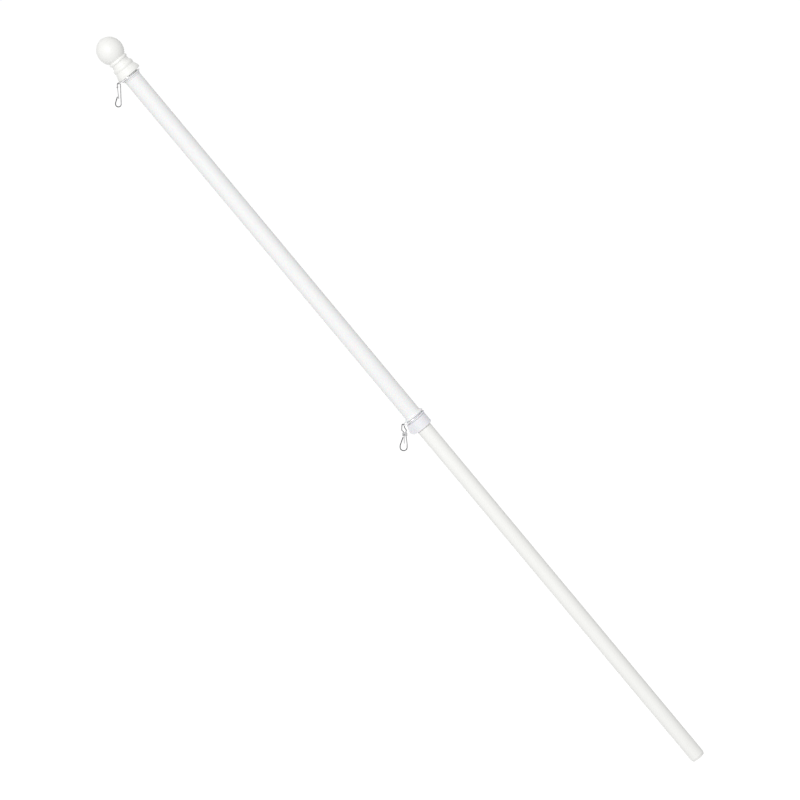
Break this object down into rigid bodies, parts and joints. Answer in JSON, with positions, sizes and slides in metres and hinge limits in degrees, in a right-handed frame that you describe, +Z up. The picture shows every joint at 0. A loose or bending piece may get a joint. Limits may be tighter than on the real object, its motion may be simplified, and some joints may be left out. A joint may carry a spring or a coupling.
{
  "type": "house flagpole",
  "caption": "White painted wooden wall-bracket flagpole with a ball finial, a free-spinning anti-wrap tube, wire rings and snap clips for a house flag.",
  "frame": {"origin": "centre of the pole's flat butt face, the lower end, which goes in a wall bracket", "axes": "+Z is up. The pole leans as a wall bracket carries it: its axis lies in the XZ plane, 39.36 degrees from +Z, with the ball at the upper end toward -X. Y is square to the plane of the lean. Both clips hang straight down."},
  "size_m": [0.9829, 0.0438, 1.1902],
  "materials": {
    "pole_paint": "white satin paint over turned wood",
    "tube_plastic": "smooth white extruded plastic",
    "cap_plastic": "moulded white plastic",
    "collar_plastic": "moulded white plastic with a faint blue cast",
    "screw_steel": "plain zinc plated",
    "ring_wire": "bright plated steel wire",
    "clip_wire": "bright plated spring wire",
    "clip_sleeve": "stamped plated steel",
    "clip_rivet": "plain steel"
  },
  "bodies": {
    "pole": {"shaft": "pole_paint", "finial": "pole_paint", "stop_collar": "collar_plastic", "collar_screw": "screw_steel"},
    "spinner": {"anti_wrap_tube": "tube_plastic", "upper_end_cap": "cap_plastic", "lower_end_cap": "cap_plastic"},
    "upper_ring_body": {"upper_ring": "ring_wire"},
    "lower_ring_body": {"lower_ring": "ring_wire"},
    "upper_clip": {"upper_clip_wire": "clip_wire", "upper_clip_rivet": "clip_rivet"},
    "lower_clip": {"lower_clip_eye": "clip_wire", "lower_clip_sleeve": "clip_sleeve", "lower_clip_hook": "clip_wire", "lower_clip_rivet": "clip_rivet"},
    "upper_gate": {"upper_clip_gate": "clip_wire"},
    "lower_gate": {"lower_clip_gate": "clip_wire"}
  },
  "joints": [
    {"name": "tube_spin", "type": "hinge", "parent": "pole", "child": "spinner", "pos_m": [-0.69127, 0, 0.84276], "axis": [-0.6342, 0, 0.7732], "continuous": true},
    {"name": "upper_ring_turn", "type": "hinge", "parent": "pole", "child": "upper_ring_body", "pos_m": [-0.92008, 0, 1.12172], "axis": [-0.6342, 0, 0.7732], "continuous": true},
    {"name": "lower_ring_turn", "type": "hinge", "parent": "pole", "child": "lower_ring_body", "pos_m": [-0.4655, 0, 0.56751], "axis": [-0.6342, 0, 0.7732], "continuous": true},
    {"name": "upper_clip_swing", "type": "hinge", "parent": "upper_ring_body", "child": "upper_clip", "pos_m": [-0.93829, 0, 1.10679], "axis": [0, 1, 0], "range_deg": [-35, 95]},
    {"name": "lower_clip_swing", "type": "hinge", "parent": "lower_ring_body", "child": "lower_clip", "pos_m": [-0.4837, 0, 0.55258], "axis": [0, 1, 0], "range_deg": [-12, 120]},
    {"name": "upper_gate_press", "type": "hinge", "parent": "upper_clip", "child": "upper_gate", "pos_m": [-0.94074, 0, 1.10199], "axis": [0, -1, 0], "range_deg": [0, 7], "stiffness_Nm_per_rad": 0.05},
    {"name": "lower_gate_press", "type": "hinge", "parent": "lower_clip", "child": "lower_gate", "pos_m": [-0.4823, 0, 0.53708], "axis": [0, -1, 0], "range_deg": [0, 9], "stiffness_Nm_per_rad": 0.05}
  ]
}
